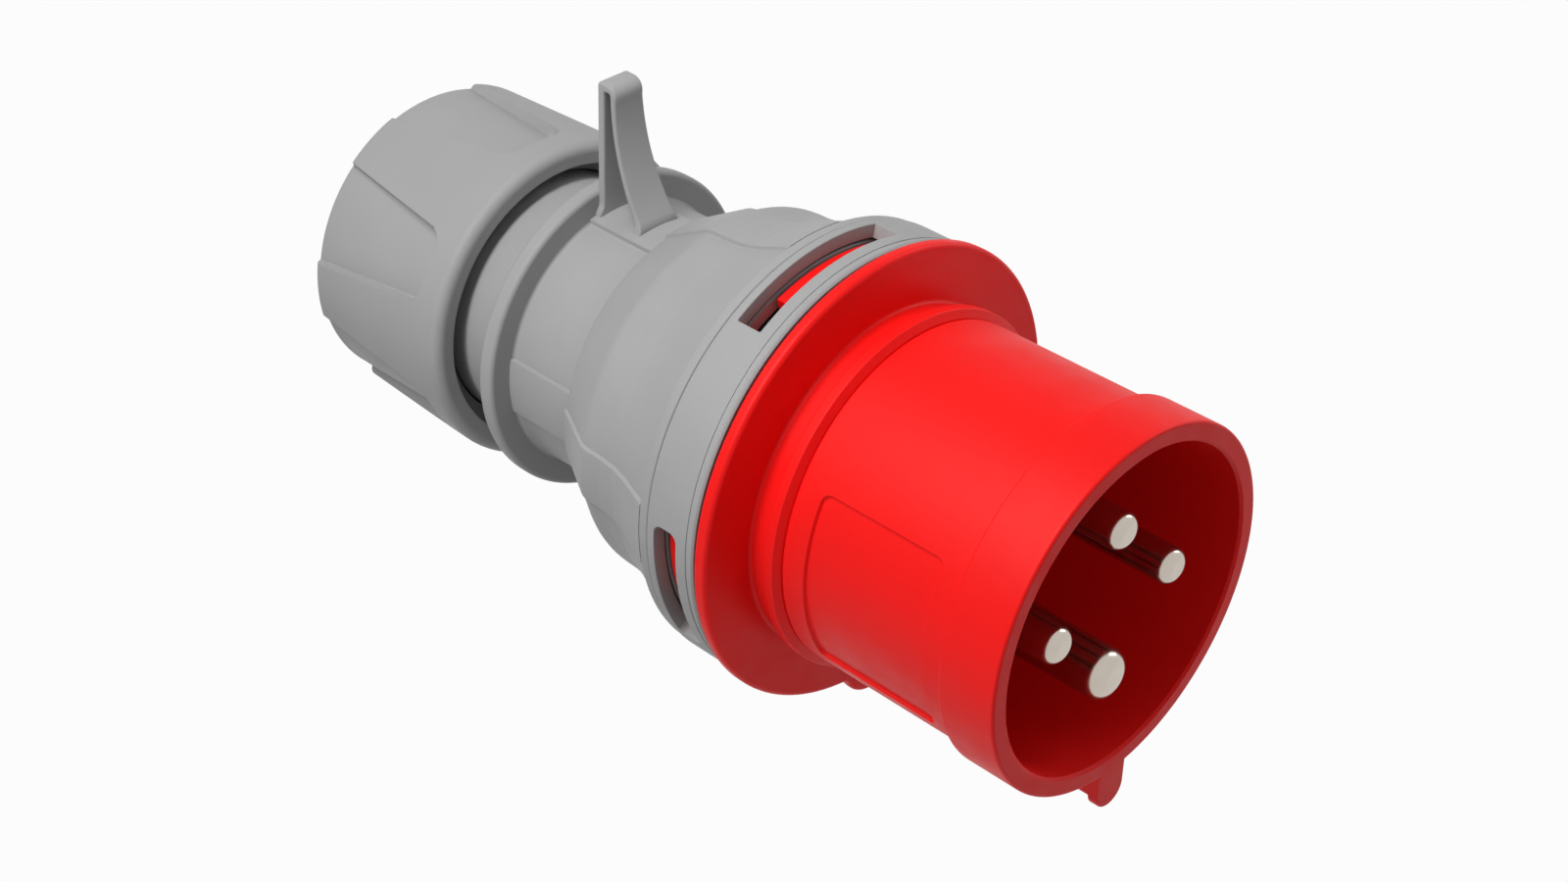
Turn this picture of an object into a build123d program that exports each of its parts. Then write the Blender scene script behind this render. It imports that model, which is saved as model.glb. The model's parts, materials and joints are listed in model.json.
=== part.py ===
from build123d import *
import math
import os

# Industrial pin and sleeve plug, millimetres. The plug stands on the rear end of its gland nut, +Z runs
# along the axis to the pins, and the retaining hook points to +X. Angles are counted from +X about +Z.

# Lengths along the axis, from the rear end of the gland nut to the rim
nut_length = 27.9
nut_gap = 8.35                 # bare spigot between gland nut and guard disc
guard_thickness = 2.55
neck_length = 13.0
bell_length = 25.3
ring_rear_gap = 0.15
ring_length = 8.4
ring_front_gap = 0.75
flange_thickness = 1.75
shroud_length = 40.25          # from the flange to the rim

nut_front = nut_length
guard_rear = nut_front + nut_gap
guard_front = guard_rear + guard_thickness
bell_rear = guard_front + neck_length
bell_front = bell_rear + bell_length
ring_rear = bell_front + ring_rear_gap
ring_front = ring_rear + ring_length
flange_rear = ring_front + ring_front_gap
flange_front = flange_rear + flange_thickness
rim = flange_front + shroud_length

# Driving radii; the other round sizes follow from these three
shroud_radius = 23.9
ring_radius = 31.1
neck_radius = 19.6

# Common edges and overlaps
soft_edge = 0.3
fine_edge = 0.2
bite = 0.5                     # how deep joined forms run into each other
past = 1.0                     # how far cutters run past a face

# Shroud
shroud_wall = 1.6
collar_rise = 1.1              # collar above the shroud
collar_length = 8.35
collar_edge = 0.45             # rounding of the collar's front edge
collar_rear_edge = 0.5
mouth_chamfer = 0.36
floor_thickness = 3.85
floor_round = 0.8
base_groove_width = 0.35
base_groove_depth = 0.3
bead_rise = 1.1                # bead round the foot of the shroud
bead_up = 3.35                 # from the flange to the bead
bead_length = 1.45
bead_bevel = 0.6
base_groove_gap = 0.56         # from the bead to the thin groove
foot_round = 0.5
flange_rise = 0.7              # flange beyond the lock ring
flange_edge = 0.7

shroud_bore = shroud_radius - shroud_wall
collar_radius = shroud_radius + collar_rise
bead_radius = shroud_radius + bead_rise
flange_radius = ring_radius + flange_rise

# Key rib and nub, opposite the hook
key_height = 6.95              # from the shroud to the tip of the key
key_pad_width = 4.8
key_pad_length = 1.6
key_rib_width = 3.0
key_rib_drop = 0.4
nub_radius = 5.0
nub_height = 3.4               # from the flange to the tip of the nub

key_tip = shroud_radius + key_height
nub_tip = flange_radius + nub_height

# Recessed label panel
panel_start = 59.2
panel_end = 121.8
panel_from_rim = 12.0
panel_length = 18.65
panel_depth = 0.5
panel_corner = 1.3

# Lock ring
ring_wall = 1.9
ring_line_width = 0.2          # thin groove round the ring
ring_line_depth = 0.12
ring_line_from_front = 1.3
ring_lip_rise = 0.25           # lip at the ring's front edge
ring_lip_foot = 0.8
ring_lip_top = 0.35
ring_slack = 0.4               # radial gap between ring, lugs and skirt
lip_gap = 0.4                  # axial gap between lips and lugs
snap_thickness = 0.5           # snap bead that holds the ring on the housing
snap_slack = 0.3
window_spans = [(-15.0, 32.0), (84.0, 121.0)]
window_corners = [0.0, 1.2]
window_rear_from_lug = 0.55
release_turn = 38.0
stop_start = 200.0
stop_width = 10.0
stop_slack = 0.5               # degrees left free at each end of the turn
full_turn = 360.0

# Skirt and bayonet lugs of the front moulding
skirt_length = 7.3
skirt_wall = 2.0
lug_height = 2.2
lug_thickness = 2.9
lug_spans = [(-20.0, 21.0), (72.0, 105.0)]

ring_bore = ring_radius - ring_wall
lug_radius = ring_bore - ring_slack
skirt_radius = lug_radius - lug_height
skirt_bore = skirt_radius - skirt_wall
lip_bore = skirt_radius + ring_slack

# Bell of the housing
lip_inset = 0.2                # the bell's front lip is this much smaller than the lock ring
lip_length = 1.5
lip_step = 0.6
bell_inset = 4.3
bell_draft = 0.2
bell_flare_from_front = 10.0   # where the bell starts to widen
bell_flare_round = 16.0
shoulder_rise = 2.0            # foot of the bell above the neck
shoulder_height = 8.9
shoulder_round = 4.0
shoulder_foot_round = 1.0
bell_wall = 2.4
chamber_step = 1.0
chamber_round = 2.0
bar_height = 0.5
bar_half_angle = 8.5
front_flange_thickness = 0.65
groove_slack = 0.15
nose_rise = 0.2                # end of the housing in front of its flange, above the skirt

lip_radius = ring_radius - lip_inset
bell_radius = ring_radius - bell_inset
shoulder_radius = neck_radius + shoulder_rise

# Neck, guard disc and spigot
pad_height = 0.6
pad_half_angle = 12.0
hook_pad_half_angle = 13.8
guard_rise = 3.9
guard_edge = 0.7
spigot_inset = 1.2
spigot_wall = 1.6
spigot_edge = 0.6
neck_round = 0.5
spigot_into_nut = 11.9         # length of spigot inside the gland nut

guard_radius = neck_radius + guard_rise
spigot_radius = neck_radius - spigot_inset
spigot_bore = spigot_radius - spigot_wall

# Retaining hook, radii counted from the neck
hook_height = 19.7
hook_width = 5.0               # at the tip
hook_foot_width = 6.3
hook_setback = 0.2             # rear face behind the front of the guard disc
hook_top = 3.4
hook_waist = 4.45
hook_waist_up = 9.6
hook_foot = 8.6
hook_foot_up = 1.0
hook_rear_round = 0.5
hook_front_round = 1.6
hook_edge_round = 0.36
rear_leg = 1.2
front_leg_top = 1.1
front_leg_waist = 0.8
front_leg_foot = 1.6
slot_foot_up = 0.6             # slot's floor above the foot of the front leg
slot_end_gap = 1.2             # material above the slot
slot_round_share = 0.35        # rounding of the slot's end as a share of its width

hook_tip = neck_radius + hook_height
hook_waist_radius = neck_radius + hook_waist_up
hook_foot_radius = neck_radius + hook_foot_up
slot_top = hook_top - rear_leg - front_leg_top
slot_waist = hook_waist - rear_leg - front_leg_waist
slot_foot = hook_foot - rear_leg - front_leg_foot

# Gland nut
thread_slack = 0.3
nut_thickness = 5.2            # at the front end, over the thread
nut_draft = 0.8                # the rear end is this much smaller
nut_rear_edge = 1.0
nut_front_round = 1.5
nut_mouth_slack = 2.27
nut_mouth_depth = 3.0
nut_mouth_bevel = 0.5
nut_wall = 2.5
thread_end = 5.0               # the thread stops this far before the washer
recess_end = 0.3
cable_hole_radius = 9.0
grip_count = 6
grip_from_front = 5.0
grip_front_width = 10.2
grip_rear_width = 15.6
grip_corner = 2.6
grip_depth = 1.8               # below the front radius
thread_pitch = 3.0
tighten_travel = 2.7
travel_slack = 0.3

thread_bore = spigot_radius + thread_slack
nut_mouth_radius = spigot_radius + nut_mouth_slack
nut_front_radius = thread_bore + nut_thickness
nut_rear_radius = nut_front_radius - nut_draft
grip_floor_radius = nut_front_radius - grip_depth

# Washer, cage and seal of the gland
washer_gap = 2.6               # between washer and thread
washer_bore_slack = 0.5
washer_thickness = 1.5
washer_slack = 0.3
cage_flange_step = 0.5
cage_flange = 1.6
cage_slack = 0.1
cage_depth = 8.0               # length of the cage inside the spigot
cage_edge = 0.6
finger_gap = 1.3               # between fingers and spigot bore
finger_wall = 3.3
finger_count = 10
finger_slot = 1.6
finger_bevel = 0.8
finger_bevel_length = 1.6
seal_wall = 5.6
seal_stop = 1.2                # inner lip that keeps the seal in the cage
seal_stop_step = 1.7
seal_tail = 0.6                # seal ends this far inside the finger tips
seal_fit = 0.1

recess_radius = thread_bore - washer_gap
washer_radius = recess_radius - washer_slack
washer_bore = cable_hole_radius + washer_bore_slack
cage_flange_radius = spigot_radius - cage_flange_step
finger_radius = spigot_bore - finger_gap
cage_bore = finger_radius - finger_wall
seal_bore = cage_bore - seal_fit - seal_wall
seal_stop_radius = cage_bore - seal_stop_step

# Contacts
pin_circle = 11.0
phase_radius = 2.5
earth_radius = 3.5
pin_setback = 1.05
pin_fit = 0.05
pin_tip_share = 0.6            # tip rounding as a share of the pin's radius
pin_seat_step = 0.4            # thicker seat of each pin in the floor
pin_seat_proud = 0.3
barrel_length = 17.0
phase_barrel_radius = 4.0
earth_barrel_radius = 4.6
barrel_edge = 0.4
wire_bore_radius = 2.3
wire_bore_depth = 11.0
phase_angles = {"l1": 270.0, "l2": 0.0, "l3": 90.0}
earth_angle = 180.0

# Contact carrier and its screws
carrier_radius = 18.5
carrier_wall = 2.7
carrier_edge = 0.8
barrel_slack = 0.15
barrel_end_slack = 0.2
wire_entry_radius = 3.2
carrier_screw_circle = 12.8
carrier_screw_angles = [45.0, 225.0]
carrier_screw_radius = 1.5
carrier_screw_bite = 3.0
carrier_screw_head = 2.8
carrier_screw_head_height = 2.0
carrier_screw_slack = 0.2
screw_fit = 0.05
screw_tip_gap = 0.3

# Terminal screws and clamp plates
terminal_screw_radius = 1.75
terminal_head_radius = 2.9
terminal_head_height = 1.8
terminal_head_gap = 0.3
terminal_access_slack = 0.4
driver_slot_width = 0.8
driver_slot_depth = 0.9
plate_width = 3.0
plate_thickness = 0.8
plate_length = 7.0
plate_top = 1.5                # top of the clamp plate above the barrel's axis

# Front seal
seal_thickness = 1.0
seal_inset = 0.2

# Places along the axis that follow from the sizes above
floor_front = flange_rear + floor_thickness
pin_seat_front = floor_front + pin_seat_proud
skirt_rear = flange_rear - skirt_length
lug_front = skirt_rear + lug_thickness
lip_rear = lug_front + lip_gap
snap_front = ring_rear + snap_thickness
front_flange_rear = snap_front + groove_slack
front_flange_front = front_flange_rear + front_flange_thickness
groove_radius = lip_bore
snap_bore = groove_radius + snap_slack
seal_seat = skirt_rear - seal_thickness
spigot_rear = nut_front - spigot_into_nut
carrier_rear = flange_rear - barrel_length - barrel_end_slack - carrier_wall
washer_front = nut_wall + washer_thickness
finger_tip = washer_front + tighten_travel + travel_slack
cage_front = spigot_rear + cage_depth
hook_rear = guard_front - hook_setback


def outline(corners):
    """Closed face in the XZ plane from (radius, height, rounding) corners."""
    points = [(radius, height) for radius, height, _ in corners]
    rounds = [rounding for _, _, rounding in corners]
    return Plane.XZ * make_face(FilletPolyline(*points, radius=rounds, close=True))


def turned(*corners):
    """Body turned about the axis from its half section."""
    return revolve(outline(corners), Axis.Z)


def turned_span(start, end, *corners):
    """The stretch of a turned body between two angles."""
    return Rot(0, 0, start) * revolve(outline(corners), Axis.Z, end - start)


def tube_span(inner, outer, low, high, start, end):
    """A stretch of tube with square edges."""
    corners = [(inner, low, 0), (outer, low, 0), (outer, high, 0), (inner, high, 0)]
    return turned_span(start, end, *corners)


def tube(inner, outer, low, high):
    return turned((inner, low, 0), (outer, low, 0), (outer, high, 0), (inner, high, 0))


def bar(radius, low, high):
    """Round bar about the axis between two heights."""
    return Pos(0, 0, low) * Cylinder(radius, high - low, align=(Align.CENTER, Align.CENTER, Align.MIN))


def at_angle(angle, shape):
    return Rot(0, 0, angle) * shape


def round_corners(window, rounding):
    """Round the four radial edges of a tube span."""
    if rounding == 0:
        return window
    radial = [
        edge
        for edge in window.edges().filter_by(GeomType.LINE)
        if abs((edge % 0.5).Z) < 0.5
    ]
    return fillet(radial, rounding)


def shroud_tube():
    """Shroud with collar, foot bead and flange, before its bore is cut."""
    collar_rear = rim - collar_length
    bead_rear = flange_front + bead_up
    bead_front = bead_rear + bead_length
    groove = bead_front + base_groove_gap
    return turned(
        (0, flange_rear, 0),
        (flange_radius, flange_rear, soft_edge),
        (flange_radius, flange_front, flange_edge),
        (shroud_radius, flange_front, foot_round),
        (shroud_radius, bead_rear, 0),
        (bead_radius, bead_rear, fine_edge),
        (bead_radius, bead_front, fine_edge),
        (shroud_radius, bead_front + bead_bevel, 0),
        (shroud_radius, groove, 0),
        (shroud_radius - base_groove_depth, groove, 0),
        (shroud_radius - base_groove_depth, groove + base_groove_width, 0),
        (shroud_radius, groove + base_groove_width, 0),
        (shroud_radius, collar_rear, 0),
        (collar_radius, collar_rear, collar_rear_edge),
        (collar_radius, rim, collar_edge),
        (0, rim, 0),
    )


def shroud_cavity():
    """Space inside the shroud, with the chamfered mouth."""
    mouth = shroud_bore + mouth_chamfer
    return turned(
        (0, floor_front, 0),
        (shroud_bore, floor_front, floor_round),
        (shroud_bore, rim - mouth_chamfer, 0),
        (mouth, rim, 0),
        (mouth, rim + past, 0),
        (0, rim + past, 0),
    )


def blade(tip, width, low, high):
    """Round-nosed blade that stands out to -X from the shroud."""
    nose = Pos(-tip + width / 2, 0, low) * Cylinder(
        width / 2, high - low, align=(Align.CENTER, Align.CENTER, Align.MIN)
    )
    root = Pos(-shroud_radius + shroud_wall / 2, 0, low) * Box(
        tip - width / 2 - shroud_radius + shroud_wall / 2,
        width,
        high - low,
        align=(Align.MAX, Align.CENTER, Align.MIN),
    )
    return nose + root


def key():
    """Key rib with its wider pad at the rim."""
    pad = blade(key_tip, key_pad_width, rim - key_pad_length, rim)
    rib = blade(key_tip - key_rib_drop, key_rib_width, flange_front - past, rim - key_pad_length)
    return pad + rib


def nub():
    """Rounded nub on the edge of the flange."""
    lobe = Pos(-nub_tip + nub_radius, 0, flange_rear) * Cylinder(
        nub_radius, flange_thickness, align=(Align.CENTER, Align.CENTER, Align.MIN)
    )
    return fillet(lobe.edges().filter_by(GeomType.CIRCLE), flange_edge)


def label_recess():
    high = rim - panel_from_rim
    recess = tube_span(
        shroud_radius - panel_depth, shroud_radius + past, high - panel_length, high, panel_start, panel_end
    )
    return round_corners(recess, panel_corner)


def bayonet_lugs():
    lugs = Part()
    for start, end in lug_spans:
        for turn in (0, 180):
            lugs += tube_span(
                skirt_radius - bite, lug_radius, skirt_rear, lug_front, start + turn, end + turn
            )
    return lugs


def pin_places():
    """Name, angle, pin radius and barrel radius of each contact."""
    places = [(name, angle, phase_radius, phase_barrel_radius) for name, angle in phase_angles.items()]
    places.append(("earth", earth_angle, earth_radius, earth_barrel_radius))
    return places


def front_shroud():
    body = shroud_tube() + key() - shroud_cavity() - label_recess()
    body += nub()
    body += tube(skirt_bore, skirt_radius, skirt_rear, flange_rear + bite)
    body += bayonet_lugs()
    for _, angle, radius, _ in pin_places():
        hole = bar(radius + pin_seat_step + pin_fit, flange_rear - past, floor_front + past)
        body -= at_angle(angle, Pos(pin_circle, 0, 0) * hole)
    for angle in carrier_screw_angles:
        hole = bar(carrier_screw_radius + screw_fit, flange_rear - past, flange_rear + carrier_screw_bite)
        body -= at_angle(angle, Pos(carrier_screw_circle, 0, 0) * hole)
    return body


def barrel_rear():
    return flange_rear - barrel_length


def screw_height():
    """Height of the terminal screws, at the middle of the wire bore."""
    return barrel_rear() + wire_bore_depth / 2


def pin(radius, barrel):
    """Contact pin with its seat in the floor and its terminal barrel, about the pin's own axis."""
    body = turned(
        (0, barrel_rear(), 0),
        (barrel, barrel_rear(), barrel_edge),
        (barrel, flange_rear, barrel_edge),
        (radius + pin_seat_step, flange_rear, 0),
        (radius + pin_seat_step, pin_seat_front, 0),
        (radius, pin_seat_front, 0),
        (radius, rim - pin_setback, radius * pin_tip_share),
        (0, rim - pin_setback, 0),
    )
    body -= bar(wire_bore_radius, barrel_rear() - past, barrel_rear() + wire_bore_depth)
    screw_hole = Pos(0, 0, screw_height()) * Rot(0, 90, 0) * bar(
        terminal_screw_radius + screw_fit, 0, barrel + past
    )
    return body - screw_hole


def clamp_plate():
    """Flat plate between the terminal screw and the wire."""
    return Pos(plate_top - plate_thickness / 2, 0, screw_height()) * Box(
        plate_thickness, plate_width, plate_length
    )


def terminal_screw(barrel):
    """Slotted radial screw, about the pin's own axis."""
    under_head = barrel + terminal_head_gap
    top = under_head + terminal_head_height
    screw = turned(
        (0, plate_top, 0),
        (terminal_screw_radius, plate_top, soft_edge),
        (terminal_screw_radius, under_head, 0),
        (terminal_head_radius, under_head, 0),
        (terminal_head_radius, top, soft_edge),
        (0, top, 0),
    )
    screw -= Pos(0, 0, top) * Box(
        4 * terminal_head_radius, driver_slot_width, 2 * driver_slot_depth
    )
    return Pos(0, 0, screw_height()) * Rot(0, 90, 0) * screw


def terminal_screws():
    screws = [
        at_angle(angle, Pos(pin_circle, 0, 0) * terminal_screw(barrel))
        for _, angle, _, barrel in pin_places()
    ]
    return Compound(screws)


def carrier_screw():
    """Pan-head screw that runs from the carrier's rear into the floor."""
    head_front = carrier_rear + carrier_screw_head_height
    tip = flange_rear + carrier_screw_bite - screw_tip_gap
    screw = turned(
        (0, carrier_rear, 0),
        (carrier_screw_head, carrier_rear, soft_edge),
        (carrier_screw_head, head_front, 0),
        (carrier_screw_radius, head_front, 0),
        (carrier_screw_radius, tip, soft_edge),
        (0, tip, 0),
    )
    slots = Box(3 * carrier_screw_radius, driver_slot_width, 2 * driver_slot_depth)
    screw -= Pos(0, 0, carrier_rear) * slots
    screw -= Pos(0, 0, carrier_rear) * Rot(0, 0, 90) * slots
    return screw


def carrier_screws():
    return Compound(
        [
            at_angle(angle, Pos(carrier_screw_circle, 0, 0) * carrier_screw())
            for angle in carrier_screw_angles
        ]
    )


def contact_carrier():
    """Block behind the floor with a pocket, wire entry and screw access for each pin."""
    body = turned(
        (0, carrier_rear, 0),
        (carrier_radius, carrier_rear, carrier_edge),
        (carrier_radius, flange_rear, 0),
        (0, flange_rear, 0),
    )
    pocket_rear = carrier_rear + carrier_wall
    for _, angle, _, barrel in pin_places():
        pocket = bar(barrel + barrel_slack, pocket_rear, flange_rear + past)
        pocket += bar(wire_entry_radius, carrier_rear - past, pocket_rear + past)
        access = Pos(0, 0, screw_height()) * Rot(0, 90, 0) * bar(
            terminal_head_radius + terminal_access_slack, 0, carrier_radius
        )
        body -= at_angle(angle, Pos(pin_circle, 0, 0) * (pocket + access))
    for angle in carrier_screw_angles:
        hole = bar(carrier_screw_radius + screw_fit, carrier_rear - past, flange_rear + past)
        hole += bar(
            carrier_screw_head + carrier_screw_slack,
            carrier_rear - past,
            carrier_rear + carrier_screw_head_height,
        )
        body -= at_angle(angle, Pos(carrier_screw_circle, 0, 0) * hole)
    return body


def front_seal():
    return tube(skirt_bore + seal_inset, skirt_radius - seal_inset, seal_seat, skirt_rear)


def lock_ring():
    """Bayonet ring: plain bore for the lugs, lips in front of them and a snap bead at the rear."""
    line_rear = ring_front - ring_line_from_front - ring_line_width
    body = turned(
        (ring_bore, ring_rear, 0),
        (ring_radius, ring_rear, soft_edge),
        (ring_radius, line_rear, 0),
        (ring_radius - ring_line_depth, line_rear, 0),
        (ring_radius - ring_line_depth, line_rear + ring_line_width, 0),
        (ring_radius, line_rear + ring_line_width, 0),
        (ring_radius, ring_front - ring_lip_foot, 0),
        (ring_radius + ring_lip_rise, ring_front - ring_lip_top, fine_edge / 2),
        (ring_radius, ring_front, fine_edge),
        (ring_bore, ring_front, 0),
    )
    snap_start = stop_start + stop_width + stop_slack
    snap_end = stop_start - release_turn - stop_slack + full_turn
    body += tube_span(snap_bore, ring_bore + bite, ring_rear, snap_front, snap_start, snap_end)
    window_rear = skirt_rear - window_rear_from_lug
    for (start, end), corner in zip(window_spans, window_corners):
        for turn in (0, 180):
            body += tube_span(
                lip_bore, ring_bore + bite, lip_rear, ring_front, start + turn, end + turn
            )
            window = tube_span(
                ring_bore - bite, ring_radius + past, window_rear, lip_rear, start + turn, end + turn
            )
            body -= round_corners(window, corner)
    return body


def bell_corners(grow, low, high):
    """Outer half section of the bell, grown by a step for its raised bars."""
    flare = bell_front - bell_flare_from_front
    shoulder = bell_rear + shoulder_height
    return [
        (neck_radius - past, low, 0),
        (shoulder_radius + grow, low, shoulder_foot_round),
        (bell_radius - bell_draft + grow, shoulder, shoulder_round),
        (bell_radius + grow, flare, bell_flare_round),
        (lip_radius - lip_step + grow, high, 0),
        (neck_radius - past, high, 0),
    ]


def bell():
    lip_rear_face = bell_front - lip_length
    body = turned(*bell_corners(0, bell_rear, lip_rear_face))
    for angle in (0, 90, 180, 270):
        corners = bell_corners(bar_height, bell_rear, lip_rear_face)
        body += turned_span(angle - bar_half_angle, angle + bar_half_angle, *corners)
    body += turned(
        (neck_radius - past, lip_rear_face, 0),
        (lip_radius, lip_rear_face, soft_edge),
        (lip_radius, bell_front, fine_edge),
        (neck_radius - past, bell_front, 0),
    )
    return body


def ring_seat():
    """Groove and thin flange that carry the lock ring, and the block that stops its turn."""
    body = turned(
        (neck_radius, bell_front - bite, 0),
        (groove_radius, bell_front - bite, 0),
        (groove_radius, front_flange_rear, 0),
        (lug_radius, front_flange_rear, 0),
        (lug_radius, front_flange_front, soft_edge),
        (skirt_radius + nose_rise, front_flange_front, 0),
        (skirt_radius + nose_rise, seal_seat, 0),
        (neck_radius, seal_seat, 0),
    )
    body += tube_span(
        groove_radius - bite,
        lug_radius - ring_slack,
        bell_front - bite,
        front_flange_rear + bite,
        stop_start,
        stop_start + stop_width,
    )
    return body


def neck():
    """Neck with its four pads, guard disc and spigot."""
    body = turned(
        (spigot_bore - past, spigot_rear, 0),
        (spigot_radius, spigot_rear, spigot_edge),
        (spigot_radius, guard_rear, 0),
        (guard_radius, guard_rear, guard_edge),
        (guard_radius, guard_front, guard_edge),
        (neck_radius, guard_front, neck_round),
        (neck_radius, bell_rear + past, 0),
        (spigot_bore - past, bell_rear + past, 0),
    )
    half_angles = {0: hook_pad_half_angle, 90: pad_half_angle, 180: pad_half_angle, 270: pad_half_angle}
    for angle, half in half_angles.items():
        body += tube_span(
            neck_radius - past,
            neck_radius + pad_height,
            guard_front - bite,
            bell_rear + bite,
            angle - half,
            angle + half,
        )
    return body


def curved_wedge(tip, top, waist, foot, foot_radius, root_radius, back, rear_round, front_round):
    """Face in the XZ plane: straight back, curved front that widens towards the neck."""
    front = ThreePointArc(
        (tip, back + top), (hook_waist_radius, back + waist), (foot_radius, back + foot)
    )
    sides = Polyline(
        (foot_radius, back + foot), (root_radius, back + foot), (root_radius, back), (tip, back)
    )
    face = make_face(front + sides + Line((tip, back), (tip, back + top)))
    for height, rounding in ((back, rear_round), (back + top, front_round)):
        corner = face.vertices().sort_by_distance((tip, height, 0))[0]
        face = fillet(corner, rounding)
    return Plane.XZ * face


def hook_taper():
    """Upright prism that narrows the hook from its foot to its tip."""
    root = neck_radius - past
    sides = Polyline(
        (root, -hook_foot_width / 2),
        (hook_tip, -hook_width / 2),
        (hook_tip, hook_width / 2),
        (root, hook_foot_width / 2),
        close=True,
    )
    return extrude(make_face(sides), bell_front)


def hook():
    """Retaining hook: a slotted blade with a thin rear leg and a curved front leg."""
    blade_face = curved_wedge(
        hook_tip,
        hook_top,
        hook_waist,
        hook_foot,
        hook_foot_radius,
        neck_radius - past,
        hook_rear,
        hook_rear_round,
        hook_front_round,
    )
    slot_face = curved_wedge(
        hook_tip - slot_end_gap,
        slot_top,
        slot_waist,
        slot_foot,
        hook_foot_radius + slot_foot_up,
        neck_radius + pad_height,
        hook_rear + rear_leg,
        slot_top * slot_round_share,
        slot_top * slot_round_share,
    )
    solid = extrude(blade_face, hook_foot_width / 2, both=True) & hook_taper()
    side_edges = [
        edge
        for edge in solid.edges()
        if abs(edge.center().Y) > hook_width / 4 and edge.center().X > hook_foot_radius
    ]
    solid = fillet(side_edges, hook_edge_round)
    return solid - extrude(slot_face, hook_foot_width, both=True)


def housing_cavity():
    """Wiring space inside the bell, open to the spigot's bore."""
    chamber = bell_radius - bell_wall
    return turned(
        (0, spigot_rear - past, 0),
        (spigot_bore, spigot_rear - past, 0),
        (spigot_bore, bell_rear - chamber_step, chamber_round),
        (chamber, bell_rear + shoulder_height + chamber_step, chamber_round),
        (chamber, seal_seat + past, 0),
        (0, seal_seat + past, 0),
    )


def housing():
    body = neck() + bell() + ring_seat() + hook()
    return body - housing_cavity()


def clamp_cage():
    """Cage with slotted fingers that close on the cable's sheath."""
    body = turned(
        (cage_bore, finger_tip, 0),
        (finger_radius - finger_bevel, finger_tip, 0),
        (finger_radius, finger_tip + finger_bevel_length, 0),
        (finger_radius, spigot_rear - cage_flange, 0),
        (cage_flange_radius, spigot_rear - cage_flange, soft_edge),
        (cage_flange_radius, spigot_rear, 0),
        (spigot_bore - cage_slack, spigot_rear, 0),
        (spigot_bore - cage_slack, cage_front, cage_edge),
        (seal_stop_radius, cage_front, 0),
        (seal_stop_radius, cage_front - seal_stop, 0),
        (cage_bore, cage_front - seal_stop, 0),
    )
    slot_top_height = spigot_rear - cage_flange
    for number in range(finger_count):
        slot = Pos(0, 0, finger_tip - past) * Box(
            finger_radius + past,
            finger_slot,
            slot_top_height - finger_tip + past,
            align=(Align.MIN, Align.CENTER, Align.MIN),
        )
        body -= at_angle(full_turn / finger_count * number, slot)
    return body


def cable_seal():
    return turned(
        (seal_bore, finger_tip + seal_tail, soft_edge),
        (cage_bore - seal_fit, finger_tip + seal_tail, soft_edge),
        (cage_bore - seal_fit, cage_front - seal_stop, 0),
        (seal_bore, cage_front - seal_stop, soft_edge),
    )


def gland_washer():
    return turned(
        (washer_bore, nut_wall, 0),
        (washer_radius, nut_wall, 0),
        (washer_radius, washer_front, soft_edge),
        (washer_bore, washer_front, soft_edge),
    )


def grip_panel():
    """Cutter for one grip panel: wide and open at the rear, narrower and rounded in front."""
    front = nut_length - grip_from_front
    slope = (grip_rear_width - grip_front_width) / 2 / front
    half_rear = grip_rear_width / 2 + slope
    half_front = grip_front_width / 2
    face = FilletPolyline(
        (-half_rear, -past),
        (half_rear, -past),
        (half_front, front),
        (-half_front, front),
        radius=[0, 0, grip_corner, grip_corner],
        close=True,
    )
    block = extrude(Plane.YZ * make_face(face), 2 * nut_front_radius)
    return block - bar(grip_floor_radius, -2 * past, nut_front)


def gland_nut():
    """Cap with a slight draft, a softly rounded mouth and six sunk grip panels."""
    mouth_rear = nut_front - nut_mouth_depth
    body = turned(
        (cable_hole_radius, 0, 0),
        (nut_rear_radius, 0, nut_rear_edge),
        (nut_front_radius, nut_front, nut_front_round),
        (nut_mouth_radius, nut_front, soft_edge),
        (nut_mouth_radius, mouth_rear, 0),
        (thread_bore, mouth_rear - nut_mouth_bevel, 0),
        (thread_bore, washer_front + thread_end, 0),
        (recess_radius, washer_front + recess_end, 0),
        (recess_radius, nut_wall, 0),
        (cable_hole_radius, nut_wall, 0),
    )
    for number in range(grip_count):
        body -= at_angle(full_turn / grip_count * number, grip_panel())
    return body


def parts():
    """Every piece of the plug under its own name."""
    pieces = {
        "front_shroud": front_shroud(),
        "contact_carrier": contact_carrier(),
        "carrier_screws": carrier_screws(),
        "terminal_screws": terminal_screws(),
        "front_seal": front_seal(),
        "lock_ring": lock_ring(),
        "housing": housing(),
        "clamp_cage": clamp_cage(),
        "cable_seal": cable_seal(),
        "gland_washer": gland_washer(),
        "gland_nut": gland_nut(),
    }
    for name, angle, radius, barrel in pin_places():
        place = Rot(0, 0, angle) * Pos(pin_circle, 0, 0)
        pieces["pin_" + name] = place * pin(radius, barrel)
        pieces["clamp_plate_" + name] = place * clamp_plate()
    return pieces


os.makedirs("parts", exist_ok=True)
for node, solid in parts().items():
    export_step(solid, os.path.join("parts", node + ".step"))
print("gland slide per turn", thread_pitch, "mm, per radian", thread_pitch / (2 * math.pi), "mm")
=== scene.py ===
import json
import math

import bmesh
import bpy
from mathutils import Matrix, Vector


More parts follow.
